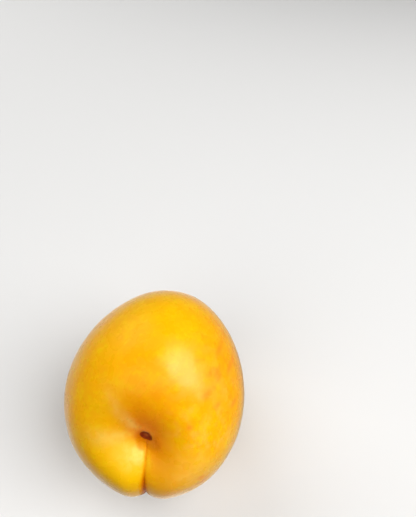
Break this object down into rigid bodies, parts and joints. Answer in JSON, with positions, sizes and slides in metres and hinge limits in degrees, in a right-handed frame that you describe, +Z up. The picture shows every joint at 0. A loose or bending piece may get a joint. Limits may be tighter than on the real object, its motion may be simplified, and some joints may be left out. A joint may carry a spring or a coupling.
{
  "type": "apricot",
  "caption": "Whole ripe apricot lying with its stalk end up and forward: rounded body, stalk hollow with a scar, and a suture groove down the front. Rests on a small flat spot.",
  "frame": {"origin": "On the surface that the fruit lies on, under the middle of its bounding box.", "axes": "+Z is up. -Y is the side that the stalk end faces: the stalk axis rises 26 degrees above -Y. +X is to the right of someone who looks along +Y."},
  "size_m": [0.0474, 0.0512, 0.0515],
  "materials": {
    "apricot_skin": "golden yellow-orange fruit skin with a fine velvety fuzz, soft satin highlights"
  },
  "bodies": {
    "root": {"apricot": "apricot_skin"}
  },
  "joints": []
}
